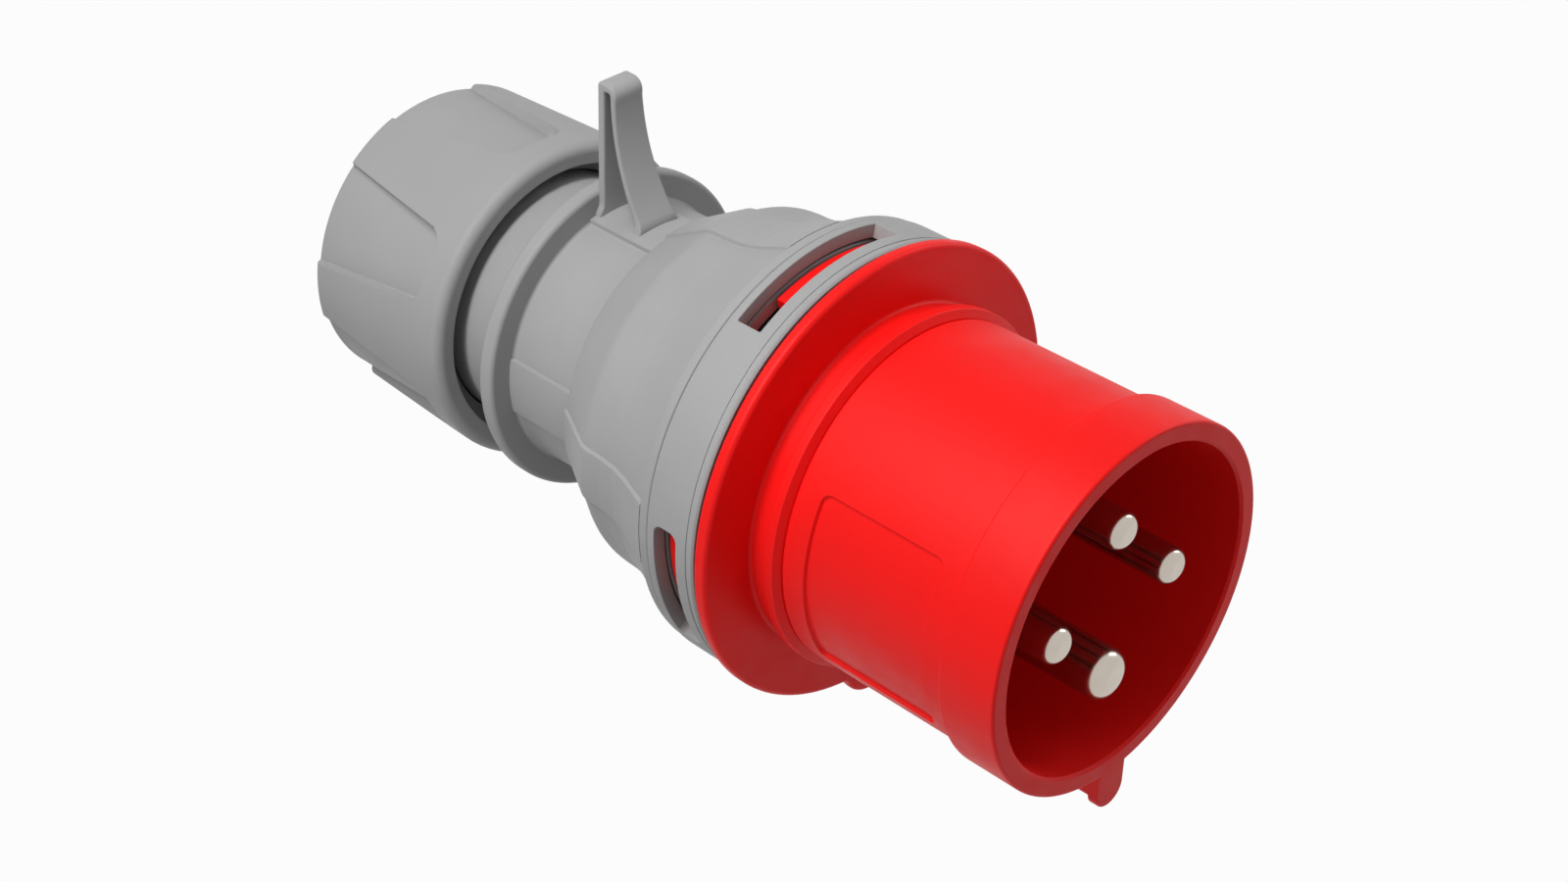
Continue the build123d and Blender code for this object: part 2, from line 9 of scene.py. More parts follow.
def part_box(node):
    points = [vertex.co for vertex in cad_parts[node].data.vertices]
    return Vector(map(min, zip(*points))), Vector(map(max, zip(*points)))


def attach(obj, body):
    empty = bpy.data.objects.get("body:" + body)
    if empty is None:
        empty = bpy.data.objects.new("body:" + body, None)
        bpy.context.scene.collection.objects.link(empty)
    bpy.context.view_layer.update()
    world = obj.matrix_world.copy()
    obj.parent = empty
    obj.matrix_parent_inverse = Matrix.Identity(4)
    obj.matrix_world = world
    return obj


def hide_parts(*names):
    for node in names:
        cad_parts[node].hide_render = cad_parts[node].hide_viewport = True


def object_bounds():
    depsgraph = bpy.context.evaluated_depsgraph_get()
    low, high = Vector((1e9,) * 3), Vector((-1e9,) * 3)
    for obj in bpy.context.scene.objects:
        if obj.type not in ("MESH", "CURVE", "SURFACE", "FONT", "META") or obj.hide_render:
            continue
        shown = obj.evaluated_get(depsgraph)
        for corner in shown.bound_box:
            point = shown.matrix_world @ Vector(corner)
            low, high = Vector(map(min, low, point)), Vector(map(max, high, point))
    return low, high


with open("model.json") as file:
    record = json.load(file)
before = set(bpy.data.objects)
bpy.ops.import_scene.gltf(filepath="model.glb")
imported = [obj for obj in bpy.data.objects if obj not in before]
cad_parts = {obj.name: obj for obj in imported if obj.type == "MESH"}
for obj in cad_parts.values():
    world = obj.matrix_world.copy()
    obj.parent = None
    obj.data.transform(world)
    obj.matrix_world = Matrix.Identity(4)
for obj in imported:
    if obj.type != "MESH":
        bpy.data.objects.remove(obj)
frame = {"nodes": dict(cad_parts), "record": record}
cad_low, cad_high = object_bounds()

# Lengths are in millimetres and angles in degrees from +X about +Z; MM turns a length into metres.
MM = 0.001

# Slack of comparisons, in millimetres: nothing at all, the limits of a zone, and two radii that are the same
NIL = 1e-6
SLACK = 1e-4
SAME = 1e-3

# How far a cutter runs past what it cuts
OVERRUN = 1.0


def low_of(node):
    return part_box(node)[0].z / MM


def high_of(node):
    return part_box(node)[1].z / MM


# Heights along the axis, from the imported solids
rim = high_of("front_shroud")
skirt_rear = low_of("front_shroud")
ring_rear = low_of("lock_ring")
ring_front = high_of("lock_ring")
nut_front = high_of("gland_nut")
spigot_rear = low_of("housing")
flange_rear = high_of("contact_carrier")
seal_seat = low_of("front_seal")
pin_rear = low_of("pin_l1")
pin_tip = high_of("pin_l1")
washer_front = high_of("gland_washer")
nut_wall = low_of("gland_washer")

# Front moulding
flange_thickness = 1.75
flange_front = flange_rear + flange_thickness
floor_thickness = 3.85
floor_front = flange_rear + floor_thickness
shroud_radius = 23.9
shroud_bore = 22.3
mouth_chamfer = 0.36
collar_radius = 25.0
collar_length = 8.35
collar_rear = rim - collar_length
bead_radius = 25.0
bead_gap = 3.35
bead_rear = flange_front + bead_gap
bead_length = 1.45
bead_front = bead_rear + bead_length
groove_from_flange = 5.71
groove_front = flange_front + groove_from_flange
groove_width = 0.35
groove_rear = groove_front - groove_width
groove_depth = 0.3
flange_radius = 31.8
skirt_radius = 26.6
skirt_bore = 24.6
lug_radius = 28.8
lug_length = 2.9
lug_front = skirt_rear + lug_length
lug_spans = [(-20.0, 21.0), (72.0, 105.0), (160.0, 201.0), (252.0, 285.0)]
panel_span = (59.2, 121.8)
panel_from_rim = 12.0
panel_high = rim - panel_from_rim
panel_length = 19.05
panel_low = panel_high - panel_length
panel_depth = 0.5
panel_corner = 1.3
panel_soft = 0.22
panel_soft_angle = 0.53
key_angle = 180.0
key_tip = 30.85
key_pad_width = 4.8
key_pad_length = 1.6
key_pad_rear = rim - key_pad_length
key_rib_width = 3.0
key_rib_drop = 0.4
nub_radius = 5.0
nub_tip = 35.2
pin_circle = 11.0
pin_fit = 0.05
pin_seat_step = 0.4
pin_seat_proud = 0.3
pin_seat_front = floor_front + pin_seat_proud
pin_tip_share = 0.6
phase_radius = 2.5
earth_radius = 3.5
phase_barrel = 4.0
earth_barrel = 4.6
wire_bore = 2.3
wire_bore_depth = 11.0
phase_angles = {"l1": 270.0, "l2": 0.0, "l3": 90.0}
earth_angle = 180.0

# Roundings and soft edges of the front moulding
floor_round = 0.8
collar_edge = 0.45
collar_rear_edge = 0.22
bead_front_edge = 0.2
bead_rear_edge = 0.15
groove_edge = 0.04
shroud_crease = 0.1
flange_foot = 0.5
flange_edge = 0.7
flange_rear_edge = 0.3
skirt_foot = 0.2
skirt_edge = 0.15
lug_soft = 0.3

# Lock ring
ring_radius = 31.1
ring_bore = 29.2
lip_bore = 27.0
lug_play = 0.4
lip_rear = lug_front + lug_play
snap_bore = 27.3
snap_thickness = 0.5
snap_front = ring_rear + snap_thickness
stop_gap = (161.5, 210.5)
ring_line_from_front = 1.3
ring_line = ring_front - ring_line_from_front
ring_line_width = 0.2
ring_line_depth = 0.12
ring_line_edge = 0.03
ring_crease = 0.1
ring_rear_edge = 0.3
ring_front_edge = 0.2
ring_soft = 0.2
front_lip_length = 0.8
front_lip_crest = 0.35
front_lip_rise = 0.25
window_from_skirt = 0.55
window_low = skirt_rear - window_from_skirt
window_spans = [(-15.0, 32.0), (84.0, 121.0), (165.0, 212.0), (264.0, 301.0)]
window_corners = [0.15, 1.2, 0.15, 1.2]
window_flare = 0.12
window_reach = 1.2

# Housing
ring_rear_gap = 0.15
bell_front = ring_rear - ring_rear_gap
lip_length = 1.5
lip_low = bell_front - lip_length
lip_radius = 30.9
bell_radius = 26.8
flare_length = 10.0
flare_height = bell_front - flare_length
nut_gap = 8.35
guard_rear = nut_front + nut_gap
guard_thickness = 2.55
guard_front = guard_rear + guard_thickness
guard_radius = 23.5
guard_edge = 0.7
neck_length = 13.0
bell_rear = guard_front + neck_length
shoulder_radius = 21.6
neck_radius = 19.6
spigot_radius = 18.4
spigot_bore = 16.8
chamber_radius = 24.4
bar_height = 0.5
bar_half_angle = 8.5
pad_height = 0.6
pad_half_angles = {0: 13.8, 90: 12.0, 180: 12.0, 270: 12.0}
bar_soft = 0.5
groove_radius = 27.0
front_flange_play = 0.15
front_flange_rear = snap_front + front_flange_play
front_flange_thickness = 0.65
front_flange_front = front_flange_rear + front_flange_thickness
stop_span = (200.0, 210.0)
stop_radius = lug_radius - 0.4
stop_soft = 0.2
skirt_seat_radius = skirt_radius + 0.2

# Roundings of the housing, and the stations where the bell's line bends
spigot_bore_edge = 0.2
spigot_edge = 0.6
spigot_foot = 0.3
neck_foot = 0.5
shoulder_round = 0.8
bell_bend_radius = bell_radius - 0.2
bell_bend_height = bell_rear + 8.9
bell_bend_round = 4.0
flare_round = 16.0
lip_foot_radius = lip_radius - 0.6
lip_foot = 0.1
lip_edge = 0.3
lip_front_edge = 0.25
groove_mouth_edge = 0.1
front_flange_edge = 0.2
chamber_rear = bell_rear + 9.9
chamber_mouth = bell_rear - 1
chamber_round = 2

# Thread of the spigot
thread_pitch = 3.0
thread_depth = 0.45
thread_start = spigot_rear + 0.8
thread_end = nut_front - 3.5
thread_fade = 1.0
thread_slope = 0.8

# Retaining hook
hook_sink = 0.2
hook_rear = guard_front - hook_sink
hook_tip = 39.3
hook_half_width = 2.5
hook_foot_half_width = 3.15
hook_root_depth = 1.0
hook_root = neck_radius - hook_root_depth
hook_waist_radius = 29.2
hook_edge = 0.36
hook_edge_share = 0.38
hook_flare = 0.7
hook_flare_height = 1.3
rear_leg = 1.2
tip_thickness = 1.2

# The arch's outer line and the slot in it: lengths along the axis at the tip, the waist and the foot, the
# radius at which the foot ends, and the roundings behind and in front of the tip
hook_line = {
    "top": 3.4, "waist": 4.45, "foot": 8.6,
    "foot_radius": neck_radius + 1.0, "rear_round": 0.5, "front_round": 1.6,
}
slot_line = {
    "top": 1.1, "waist": 2.45, "foot": 5.8,
    "foot_radius": neck_radius + 1.6, "rear_round": 0.38, "front_round": 0.38,
}

# Gland nut
nut_rear_radius = 23.1
nut_front_radius = 23.9
nut_mouth_radius = 20.67
nut_mouth_depth = 3.0
nut_mouth_bevel = 0.5
nut_rear_edge = 1.0
nut_front_edge = 1.5
nut_mouth_edge = 0.3
thread_bore = 18.7
thread_bore_rear = washer_front + 5
washer_recess = 16.1
washer_play = 0.3
cable_hole_radius = 9.0
cable_hole_edge = 0.2
grip_from_front = 5.0
grip_front = nut_front - grip_from_front
grip_front_half = 5.1
grip_rear_half = 7.8
grip_corner = 2.6
grip_soft = 0.3
grip_floor_radius = 22.1
sector = 60.0


def smooth(value):
    """0 below 0, 1 above 1, with a soft rise between."""
    t = min(1.0, max(0.0, value))
    return t * t * (3 - 2 * t)


def offset_angle(angle, centre):
    """Signed angle from a centre line, -180 to 180."""
    return (angle - centre + 180) % 360 - 180


def in_span(angle, span, soft):
    """1 inside an angular span and 0 outside, with a rise of soft degrees centred on each end."""
    centre = (span[0] + span[1]) / 2
    half = (span[1] - span[0]) / 2
    return smooth((half - abs(offset_angle(angle, centre))) / soft + 0.5)


# Share of a free run that the support point beside an arc may take
EASE_SHARE = 0.3


def rounded(corners, closed=True, arc_step=11.0, ease=0.12):
    """Points of an outline from (radius, height, rounding) corners, with a support point beside each arc."""
    count = len(corners)
    spots = [Vector(corner[:2]) for corner in corners]
    reach = []
    for index, (_, _, rounding) in enumerate(corners):
        at_end = not closed and index in (0, count - 1)
        if rounding <= 0 or at_end:
            reach.append(0.0)
            continue
        before = spots[index - 1] - spots[index]
        after = spots[(index + 1) % count] - spots[index]
        reach.append(rounding / math.tan(before.angle(after) / 2))
    points = []
    for index, (_, _, rounding) in enumerate(corners):
        here = spots[index]
        if reach[index] == 0:
            points.append(tuple(here))
            continue
        before = spots[index - 1] - here
        after = spots[(index + 1) % count] - here
        free_before = before.length - reach[index] - reach[index - 1]
        free_after = after.length - reach[index] - reach[(index + 1) % count]
        before.normalize()
        after.normalize()
        half = before.angle(after) / 2
        turn = math.pi - 2 * half
        steps = max(2, math.ceil(math.degrees(turn) / arc_step))
        side = math.copysign(1, -before.x * after.y + before.y * after.x)
        centre = here + (before + after).normalized() * rounding / math.sin(half)
        start = here + before * reach[index] - centre
        points.append(tuple(here + before * (reach[index] + min(ease, EASE_SHARE * free_before))))
        for step in range(steps + 1):
            swing = side * turn * step / steps
            spot = centre + Matrix.Rotation(swing, 2) @ start
            points.append(tuple(spot))
        points.append(tuple(here + after * (reach[index] + min(ease, EASE_SHARE * free_after))))
    return points


def with_rows(points, heights, beyond, closed=True):
    """Adds a point wherever a run that lies beyond a radius passes one of the heights."""
    found = []
    last = len(points) if closed else len(points) - 1
    for index, (radius, height) in enumerate(points):
        found.append((radius, height))
        if index >= last:
            continue
        next_radius, next_height = points[(index + 1) % len(points)]
        if min(radius, next_radius) < beyond or abs(next_height - height) < NIL:
            continue
        low, high = sorted((height, next_height))
        between = [h for h in heights if low + SLACK < h < high - SLACK]
        between.sort(reverse=next_height < height)
        for h in between:
            share = (h - height) / (next_height - height)
            found.append((radius + share * (next_radius - radius), h))
    return found


# Mesh lines across a soft edge, as shares of its width
EDGE_LINES = (-0.75, -0.5, -0.3, -0.1, 0.1, 0.3, 0.5, 0.75)

# Even columns, in degrees, and the share of a step within which a close line takes an even column's place
COLUMN_STEP = 2.5
COLUMN_ROOM = 0.25
ANGLE_DIGITS = 5


def edge_rows(height, soft):
    return [height + share * soft for share in EDGE_LINES]


def round_angles(step, edges=(), extra=()):
    """Angles for the columns: even steps, with close lines across each (angle, width) edge."""
    fine = set()
    for angle, width in edges:
        fine.update(round((angle + share * width) % 360, ANGLE_DIGITS) for share in EDGE_LINES)
    fine.update(round(angle % 360, ANGLE_DIGITS) for angle in extra)
    even = [step * number for number in range(round(360 / step))]
    kept = [a for a in even if all(abs(offset_angle(a, b)) > step * COLUMN_ROOM for b in fine)]
    return sorted(fine.union(kept))


SHARP_ANGLE = 38.0
MERGE_DISTANCE = 2e-7
SHORTEST_EDGE = 1e-7


def shade(bm):
    """Smooth shading, except across edges above the sharp angle."""
    for face in bm.faces:
        face.smooth = True
    for edge in bm.edges:
        edge.smooth = edge.calc_face_angle(0) < math.radians(SHARP_ANGLE)


def build_mesh(name, bm):
    """Cleans and shades a mesh and puts it in the scene."""
    bmesh.ops.remove_doubles(bm, verts=bm.verts, dist=MERGE_DISTANCE)
    bmesh.ops.dissolve_degenerate(bm, edges=bm.edges, dist=SHORTEST_EDGE)
    bmesh.ops.recalc_face_normals(bm, faces=bm.faces)
    shade(bm)
    mesh = bpy.data.meshes.new(name)
    bm.to_mesh(mesh)
    bm.free()
    piece = bpy.data.objects.new(name, mesh)
    bpy.context.scene.collection.objects.link(piece)
    return piece


def turned(name, points, angles, shape=None, closed=True):
    """Mesh of an outline turned about the axis; shape moves each (angle, radius) at its height."""
    bm = bmesh.new()
    rings = []
    for radius, height in points:
        if radius < NIL:
            rings.append([bm.verts.new((0, 0, height * MM))] * len(angles))
            continue
        ring = []
        for angle in angles:
            turn, reach = shape(angle, radius, height) if shape else (angle, radius)
            theta = math.radians(turn)
            spot = (reach * math.cos(theta) * MM, reach * math.sin(theta) * MM, height * MM)
            ring.append(bm.verts.new(spot))
        rings.append(ring)
    follow = rings[1:] + rings[:1] if closed else rings[1:]
    for ring, beyond in zip(rings, follow):
        for index in range(len(angles)):
            after = (index + 1) % len(angles)
            corners = [ring[index], ring[after], beyond[after], beyond[index]]
            corners = list(dict.fromkeys(corners))
            if len(corners) > 2:
                bm.faces.new(corners)
    return build_mesh(name, bm)


def combine(piece, tool, operation):
    """Cuts a tool from a piece or joins it to the piece, and removes the tool."""
    modifier = piece.modifiers.new("combine", "BOOLEAN")
    modifier.operation = operation
    modifier.solver = "EXACT"
    modifier.object = tool
    evaluated = piece.evaluated_get(bpy.context.evaluated_depsgraph_get())
    mesh = bpy.data.meshes.new_from_object(evaluated)
    piece.modifiers.clear()
    old = piece.data
    name = old.name
    piece.data = mesh
    bpy.data.meshes.remove(old)
    mesh.name = name
    bpy.data.objects.remove(tool)
    bm = bmesh.new()
    bm.from_mesh(mesh)
    shade(bm)
    bm.to_mesh(mesh)
    bm.free()
    return piece


# Front moulding


# Columns of the key rib's nose on each side of its middle, their step in degrees, the angle that they fill,
# the number of such angles after which the mesh is even again, and the columns on the way there
KEY_COLUMNS = 10
KEY_STEP = 0.55
KEY_INNER = KEY_COLUMNS * KEY_STEP
KEY_FADE = 3
KEY_FADE_LINES = (1.02, 1.1, 1.5, 2, 2.5, KEY_FADE)
KEY_RADII = (shroud_bore + 0.5, bead_radius + 1)

# Angle from the nub's middle, in radians, past which it can't reach
NUB_REACH = 0.5

# Depth of the band at the flange's edge that the nub moves, half the band round the skirt that the lugs
# move, and the height round the panel that is tested for it
NUB_BAND = 1.5
SKIRT_BAND = 0.3
PANEL_MARGIN = 1

# Extra rows and columns inside the panel's edge, so that its corners come out round
PANEL_LINES = range(2, 10)
PANEL_ROW_STEP = 0.15
PANEL_COLUMN_STEP = 0.36

# Distance of the row pairs that make a step upright
STEP_RISE = 0.02


def key_shape(angle, radius, height):
    """Pulls the columns near the key angle out into the round-nosed rib and its pad."""
    off = offset_angle(angle, key_angle)
    outer = KEY_FADE * KEY_INNER
    if abs(off) >= outer or height < flange_front - SLACK:
        return angle, radius
    if radius < KEY_RADII[0] or radius > KEY_RADII[1]:
        return angle, radius
    pad = height > key_pad_rear - SLACK
    half = (key_pad_width if pad else key_rib_width) / 2
    side = math.degrees(math.asin(half / radius))
    if abs(off) > KEY_INNER:
        share = (abs(off) - KEY_INNER) / (outer - KEY_INNER)
        return key_angle + math.copysign(side + share * (outer - side), off), radius
    tip = key_tip if pad else key_tip - key_rib_drop
    slide = math.sin(math.radians(90 * off / KEY_INNER)) * half
    nose = tip - half + math.sqrt(max(0.0, half * half - slide * slide))
    if pad:
        nose += radius - collar_radius
    theta = math.degrees(math.atan2(slide, nose))
    return key_angle + theta, math.hypot(slide, nose)


def nub_push(angle):
    """How far the nub stands out of the flange's edge."""
    off = math.radians(offset_angle(angle, key_angle))
    centre = nub_tip - nub_radius
    across = centre * math.sin(off)
    if abs(off) > NUB_REACH or abs(across) >= nub_radius:
        return 0.0
    edge = centre * math.cos(off) + math.sqrt(nub_radius**2 - across**2)
    return max(0.0, edge - flange_radius)


def panel_inset(angle, height):
    """Depth of the recessed label panel, with rounded corners."""
    centre = (panel_span[0] + panel_span[1]) / 2
    half = math.radians((panel_span[1] - panel_span[0]) / 2) * shroud_radius
    across = half - abs(math.radians(offset_angle(angle, centre))) * shroud_radius
    along = min(height - panel_low, panel_high - height)
    if across < panel_corner and along < panel_corner:
        inside = panel_corner - math.hypot(panel_corner - across, panel_corner - along)
    else:
        inside = min(across, along)
    return panel_depth * smooth(inside / panel_soft + 0.5)


def front_shape(angle, radius, height):
    on_flange = flange_rear - SLACK < height < flange_front + SLACK
    if on_flange and radius > flange_radius - NUB_BAND:
        return angle, radius + nub_push(angle)
    if abs(radius - skirt_radius) < SKIRT_BAND and skirt_rear - SLACK < height < lug_front + SLACK:
        inside = max(in_span(angle, span, lug_soft) for span in lug_spans)
        return angle, radius + (lug_radius - skirt_radius) * inside
    if abs(radius - shroud_radius) < SAME and panel_low - PANEL_MARGIN < height < panel_high + PANEL_MARGIN:
        radius -= panel_inset(angle, height)
    return key_shape(angle, radius, height)


def front_outline():
    corners = [
        (0, floor_front, 0),
        (shroud_bore, floor_front, floor_round),
        (shroud_bore, rim - mouth_chamfer, shroud_crease),
        (shroud_bore + mouth_chamfer, rim, shroud_crease),
        (collar_radius, rim, collar_edge),
        (collar_radius, collar_rear, collar_rear_edge),
        (shroud_radius, collar_rear, shroud_crease),
        (shroud_radius, groove_front, groove_edge),
        (shroud_radius - groove_depth, groove_front, groove_edge),
        (shroud_radius - groove_depth, groove_rear, groove_edge),
        (shroud_radius, groove_rear, groove_edge),
        (bead_radius, bead_front, bead_front_edge),
        (bead_radius, bead_rear, bead_rear_edge),
        (shroud_radius, bead_rear, shroud_crease),
        (shroud_radius, flange_front, flange_foot),
        (flange_radius, flange_front, flange_edge),
        (flange_radius, flange_rear, flange_rear_edge),
        (skirt_radius, flange_rear, skirt_foot),
        (skirt_radius, skirt_rear, skirt_edge),
        (skirt_bore, skirt_rear, skirt_edge),
        (skirt_bore, flange_rear, skirt_foot),
        (0, flange_rear, 0),
    ]
    points = rounded(corners, closed=False)
    rows = edge_rows(panel_low, panel_soft) + edge_rows(panel_high, panel_soft)
    rows += [panel_low + PANEL_ROW_STEP * step for step in PANEL_LINES]
    rows += [panel_high - PANEL_ROW_STEP * step for step in PANEL_LINES]
    rows += [lug_front, lug_front + STEP_RISE, key_pad_rear, key_pad_rear - STEP_RISE]
    return with_rows(points, rows, shroud_bore + 1, closed=False)


def front_angles():
    edges = [(angle, lug_soft) for span in lug_spans for angle in span]
    edges += [(angle, panel_soft_angle) for angle in panel_span]
    extra = [key_angle + KEY_STEP * step for step in range(-KEY_COLUMNS, KEY_COLUMNS + 1)]
    extra += [key_angle + sign * KEY_INNER * share for sign in (-1, 1) for share in KEY_FADE_LINES]
    extra += [panel_span[0] + PANEL_COLUMN_STEP * step for step in PANEL_LINES]
    extra += [panel_span[1] - PANEL_COLUMN_STEP * step for step in PANEL_LINES]
    return round_angles(COLUMN_STEP, edges, extra)


DRILL_SIDES = 64


def round_tool(name, radius, low, high, angle, circle):
    """Plain round bar parallel to the axis, for drilling."""
    bm = bmesh.new()
    turn = Matrix.Rotation(math.radians(angle), 4, "Z")
    shift = Matrix.Translation((circle * MM, 0, (low + high) / 2 * MM))
    bmesh.ops.create_cone(
        bm, cap_ends=True, segments=DRILL_SIDES, radius1=radius * MM, radius2=radius * MM,
        depth=(high - low) * MM, matrix=turn @ shift,
    )
    return build_mesh(name, bm)


def pin_places():
    places = [(name, angle, phase_radius) for name, angle in phase_angles.items()]
    places.append(("earth", earth_angle, earth_radius))
    return places


def front_shroud():
    piece = turned("front_moulding", front_outline(), front_angles(), front_shape, closed=False)
    low = flange_rear - OVERRUN
    high = floor_front + OVERRUN
    for name, angle, radius in pin_places():
        hole = radius + pin_seat_step + pin_fit
        combine(piece, round_tool("drill_" + name, hole, low, high, angle, pin_circle), "DIFFERENCE")
    return piece


# Lock ring


# Least depth below the ring's bore at which a point belongs to the snap edge
SNAP_BAND = 0.1

# Steps round a window's corner, the turns of the rounding at the ring's surface, and the rise of its cutter
# from there on
CORNER_STEPS = 6
FLARE_TURNS = (22.5, 45, 67.5, 85)
FLARE_END = 0.02


def ring_shape(angle, radius, height):
    if abs(radius - ring_bore) < SAME and height > lip_rear - SLACK:
        inside = max(in_span(angle, span, ring_soft) for span in window_spans)
        return angle, radius - (ring_bore - lip_bore) * inside
    if radius < ring_bore - SNAP_BAND and height < snap_front + SLACK:
        return angle, radius + (ring_bore - radius) * in_span(angle, stop_gap, ring_soft)
    return angle, radius


def ring_outline():
    corners = [
        (ring_bore, snap_front, 0),
        (snap_bore, snap_front, ring_crease),
        (snap_bore, ring_rear, ring_crease),
        (ring_radius, ring_rear, ring_rear_edge),
        (ring_radius, ring_line - ring_line_width, ring_line_edge),
        (ring_radius - ring_line_depth, ring_line - ring_line_width, ring_line_edge),
        (ring_radius - ring_line_depth, ring_line, ring_line_edge),
        (ring_radius, ring_line, ring_line_edge),
        (ring_radius, ring_front - front_lip_length, ring_crease),
        (ring_radius + front_lip_rise, ring_front - front_lip_crest, ring_crease),
        (ring_radius, ring_front, ring_front_edge),
        (ring_bore, ring_front, 0),
        (ring_bore, lip_rear, 0),
        (ring_bore, lip_rear - STEP_RISE, 0),
    ]
    return rounded(corners)


def window_loop(half_length, half_height, corner, columns):
    """Upper side of a window as (along, across) points; the lower side mirrors it."""
    start = -half_length + corner
    level = half_height - corner
    points = []
    for step in range(CORNER_STEPS + 1):
        swing = math.pi / 2 * step / CORNER_STEPS
        points.append((start - corner * math.cos(swing), level + corner * math.sin(swing)))
    for step in range(1, columns):
        points.append((start + 2 * (half_length - corner) * step / columns, half_height))
    points += [(-along, across) for along, across in reversed(points[:CORNER_STEPS + 1])]
    return points


def window_tool(name, span, corner):
    """Cutter for one window; it flares at the ring's surface so that the cut's edge comes out rounded."""
    flare = window_flare
    centre = math.radians((span[0] + span[1]) / 2)
    half_length = math.radians((span[1] - span[0]) / 2) * ring_radius
    half_height = (lip_rear - window_low) / 2
    middle = (lip_rear + window_low) / 2
    columns = max(4, round(half_length))
    layers = [(ring_bore - window_reach, 0.0), (ring_radius - flare, 0.0)]
    for swing in map(math.radians, FLARE_TURNS):
        layers.append((ring_radius - flare + flare * math.sin(swing), flare * (1 - math.cos(swing))))
    layers.append((ring_radius + OVERRUN, flare + FLARE_END))
    bm = bmesh.new()
    loops = []
    for radius, grow in layers:
        upper = window_loop(half_length + grow, half_height + grow, corner + grow, columns)
        pair = []
        for side in (1, -1):
            row = []
            for along, across in upper:
                theta = centre + along / ring_radius
                spot = Vector((math.cos(theta) * radius, math.sin(theta) * radius, middle + side * across))
                row.append(bm.verts.new(spot * MM))
            pair.append(row)
        loops.append(pair)
    for (upper, lower), (next_upper, next_lower) in zip(loops, loops[1:]):
        for row, beyond in ((upper, next_upper), (lower, next_lower)):
            for index in range(len(row) - 1):
                bm.faces.new((row[index], row[index + 1], beyond[index + 1], beyond[index]))
        for end in (0, -1):
            bm.faces.new((upper[end], lower[end], next_lower[end], next_upper[end]))
    for upper, lower in (loops[0], loops[-1]):
        for index in range(len(upper) - 1):
            bm.faces.new((upper[index], upper[index + 1], lower[index + 1], lower[index]))
    return build_mesh(name, bm)


def lock_ring():
    edges = [(angle, ring_soft) for span in (*window_spans, stop_gap) for angle in span]
    piece = turned("bayonet_ring", ring_outline(), round_angles(COLUMN_STEP, edges), ring_shape)
    for number, (span, corner) in enumerate(zip(window_spans, window_corners)):
        combine(piece, window_tool(f"window_{number}", span, corner), "DIFFERENCE")
    return piece


# Housing


# Rows of the spigot and of the bell: their steps and how many there are
THREAD_ROW_STEP = 0.25
THREAD_ROWS = 35
BELL_ROW_STEP = 0.5
BELL_ROWS = 49

# Bands in which a point belongs to the neck's surface, to the bell's, and to the groove behind the ring
NECK_INSIDE = 0.4
NECK_OUTSIDE = 0.45
BELL_INSIDE = 1
GROOVE_BAND = 0.2


def housing_outline():
    corners = [
        (spigot_bore, spigot_rear, spigot_bore_edge),
        (spigot_radius, spigot_rear, spigot_edge),
        (spigot_radius, guard_rear, spigot_foot),
        (guard_radius, guard_rear, guard_edge),
        (guard_radius, guard_front, guard_edge),
        (neck_radius, guard_front, neck_foot),
        (neck_radius, bell_rear, neck_foot),
        (shoulder_radius, bell_rear, shoulder_round),
        (bell_bend_radius, bell_bend_height, bell_bend_round),
        (bell_radius, flare_height, flare_round),
        (lip_foot_radius, lip_low, lip_foot),
        (lip_radius, lip_low, lip_edge),
        (lip_radius, bell_front, lip_front_edge),
        (groove_radius, bell_front, groove_mouth_edge),
        (groove_radius, front_flange_rear, 0),
        (lug_radius, front_flange_rear, 0),
        (lug_radius, front_flange_front, front_flange_edge),
        (skirt_seat_radius, front_flange_front, 0),
        (skirt_seat_radius, seal_seat, 0),
        (chamber_radius, seal_seat, 0),
        (chamber_radius, chamber_rear, chamber_round),
        (spigot_bore, chamber_mouth, chamber_round),
    ]
    points = rounded(corners)
    rows = [spigot_rear + THREAD_ROW_STEP * (step + 1) for step in range(THREAD_ROWS)]
    rows += [bell_rear + BELL_ROW_STEP * (step + 1) for step in range(BELL_ROWS)]
    return with_rows(points, rows, spigot_bore + 0.5)


def thread_inset(angle, height):
    """Depth of the spigot's round thread; it fades out at both ends."""
    phase = 2 * math.pi * ((height - spigot_rear) / thread_pitch - angle / 360)
    fade = smooth((height - thread_start) / thread_fade) * smooth((thread_end - height) / thread_fade)
    return thread_depth * fade * smooth(0.5 + thread_slope * math.cos(phase))


def housing_shape(angle, radius, height):
    if height < guard_rear:
        if abs(radius - spigot_radius) < SAME:
            return angle, radius - thread_inset(angle, height)
        return angle, radius
    if radius < neck_radius - NECK_INSIDE:
        return angle, radius
    if guard_front - SLACK < height < bell_rear + SLACK and radius < neck_radius + NECK_OUTSIDE:
        push = 0.0
        for centre, half in pad_half_angles.items():
            push += pad_height * in_span(angle, (centre - half, centre + half), bar_soft)
        return angle, max(radius, neck_radius + push)
    if bell_rear - SLACK < height < lip_low and radius > neck_radius + BELL_INSIDE:
        push = 0.0
        for centre in pad_half_angles:
            span = (centre - bar_half_angle, centre + bar_half_angle)
            push += bar_height * in_span(angle, span, bar_soft)
        return angle, radius + push
    if abs(radius - groove_radius) < SAME and height > bell_front - GROOVE_BAND:
        return angle, radius + (stop_radius - groove_radius) * in_span(angle, stop_span, stop_soft)
    return angle, radius


